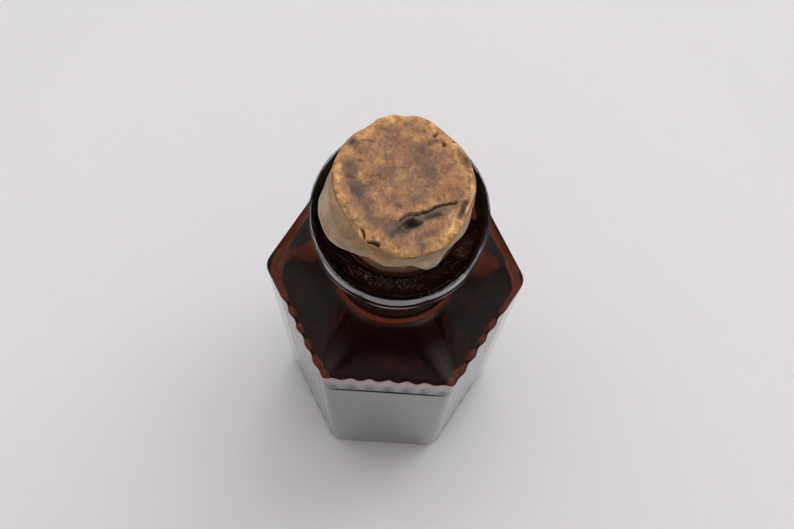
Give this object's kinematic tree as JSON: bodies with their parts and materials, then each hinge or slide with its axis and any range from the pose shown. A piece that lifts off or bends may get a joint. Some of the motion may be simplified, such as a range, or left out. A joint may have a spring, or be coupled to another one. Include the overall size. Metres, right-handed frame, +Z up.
{
  "type": "glass bottle",
  "caption": "Six-sided dark amber glass medicine bottle with fluted front faces, a flat label panel and a tapered cork that pulls out.",
  "frame": {"origin": "centre of the base, on the surface that the bottle stands on", "axes": "+Z up along the bottle's axis; -Y out of the label panel; +X and -X through the two side corners"},
  "size_m": [0.0392, 0.0346, 0.1202],
  "materials": {
    "amber_glass": "moulded, glossy, very dark amber",
    "cork": "natural cork, dry, stained and chipped",
    "dried_skin": "thin, half-clear, dried hard"
  },
  "bodies": {
    "bottle": {"bottle": "amber_glass"},
    "cork": {"cork": "cork", "seal_skin": "dried_skin"}
  },
  "joints": [
    {"name": "cork_pull", "type": "slide", "parent": "bottle", "child": "cork", "axis": [0, 0, 1], "range_m": [0, 0.02]}
  ]
}
